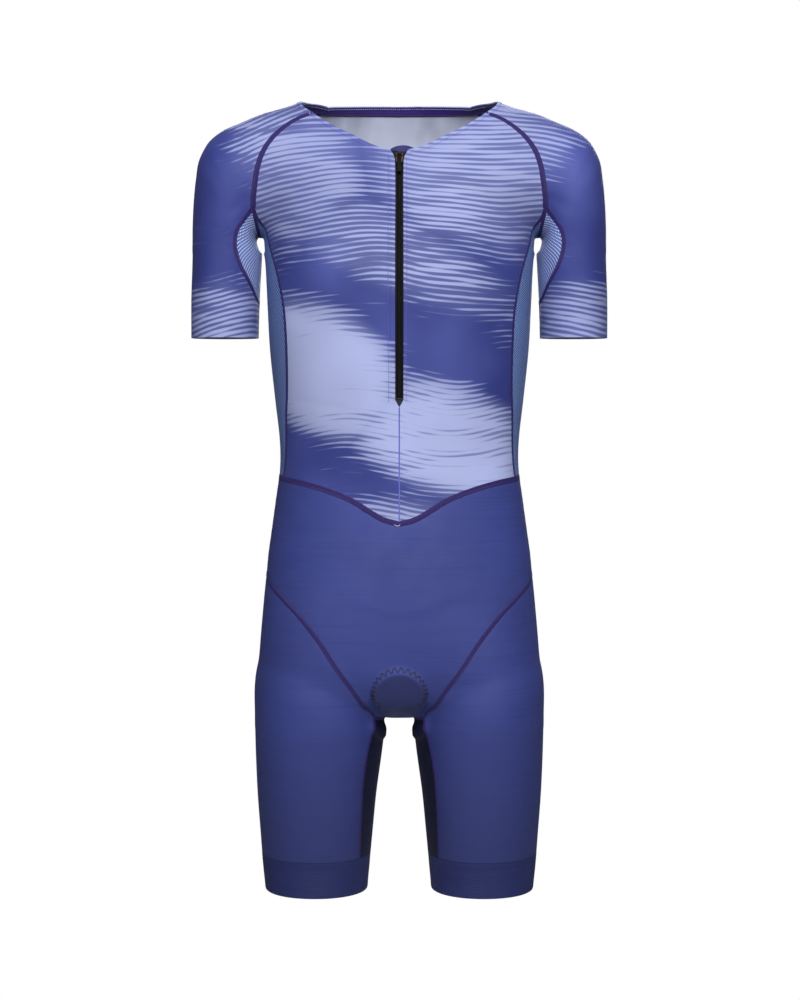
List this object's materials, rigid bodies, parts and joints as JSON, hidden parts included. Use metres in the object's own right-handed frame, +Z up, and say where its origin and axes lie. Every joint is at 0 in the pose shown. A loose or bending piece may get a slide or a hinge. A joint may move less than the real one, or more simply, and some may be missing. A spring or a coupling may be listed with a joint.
{
  "type": "triathlon suit",
  "caption": "Short-sleeved one-piece triathlon suit, hollow as when worn, with raglan sleeves, mesh side panels, a half-length front zip and knee-length legs.",
  "frame": {"origin": "where the wearer's shoulders hold the suit: midway between them, 19 mm below the highest edge of the neck", "axes": "+Z up, the front faces -Y, +X is the wearer's left"},
  "size_m": [0.4498, 0.2212, 0.8572],
  "materials": {
    "upper_print": "smooth stretch knit with a wavy fine-line print from light periwinkle to indigo",
    "back_cloth": "light stretch mesh, printed outside and grey-white inside",
    "sleeve_print": "smooth stretch knit with a wavy fine-line print",
    "side_mesh": "blue knitted mesh with small pale perforations in slanted rows",
    "shorts_cloth": "smooth compressive knit with a soft sheen",
    "inner_leg_cloth": "very dark smooth knit",
    "ribbed_band": "elastic band with fine level ribs",
    "pad_cloth": "brushed microfibre over thin foam",
    "seam_tape": "dark purple flat tape",
    "seam_thread": "dark purple flatlock thread",
    "zip_tape": "black woven tape",
    "zip_coil": "black nylon coil",
    "zip_guard": "smooth dark blue knit",
    "slider_metal": "aged bronze",
    "pull_tab": "black moulded tab"
  },
  "bodies": {
    "garment": {"front_left": "upper_print", "front_right": "upper_print", "back": "back_cloth", "sleeve_left": "sleeve_print", "sleeve_right": "sleeve_print", "underarm_gusset_left": "side_mesh", "underarm_gusset_right": "side_mesh", "side_panel_left": "side_mesh", "side_panel_right": "side_mesh", "shorts_front": "shorts_cloth", "shorts_back": "shorts_cloth", "leg_left": "shorts_cloth", "leg_right": "shorts_cloth", "inner_leg_left": "inner_leg_cloth", "inner_leg_right": "inner_leg_cloth", "leg_band_left": "ribbed_band", "leg_band_right": "ribbed_band", "seat_pad": "pad_cloth", "neck_tape": "seam_tape", "zip_tape_left": "zip_tape", "zip_tape_right": "zip_tape", "zip_coil": "zip_coil", "zip_guard": "zip_guard", "zip_slider": "slider_metal"},
    "pull": {"zip_pull": "pull_tab"}
  },
  "joints": [
    {"name": "pull_hinge", "type": "hinge", "parent": "garment", "child": "pull", "pos_m": [0, -0.09098, -0.05175], "axis": [-1, 0, 0], "range_deg": [0, 150]}
  ]
}
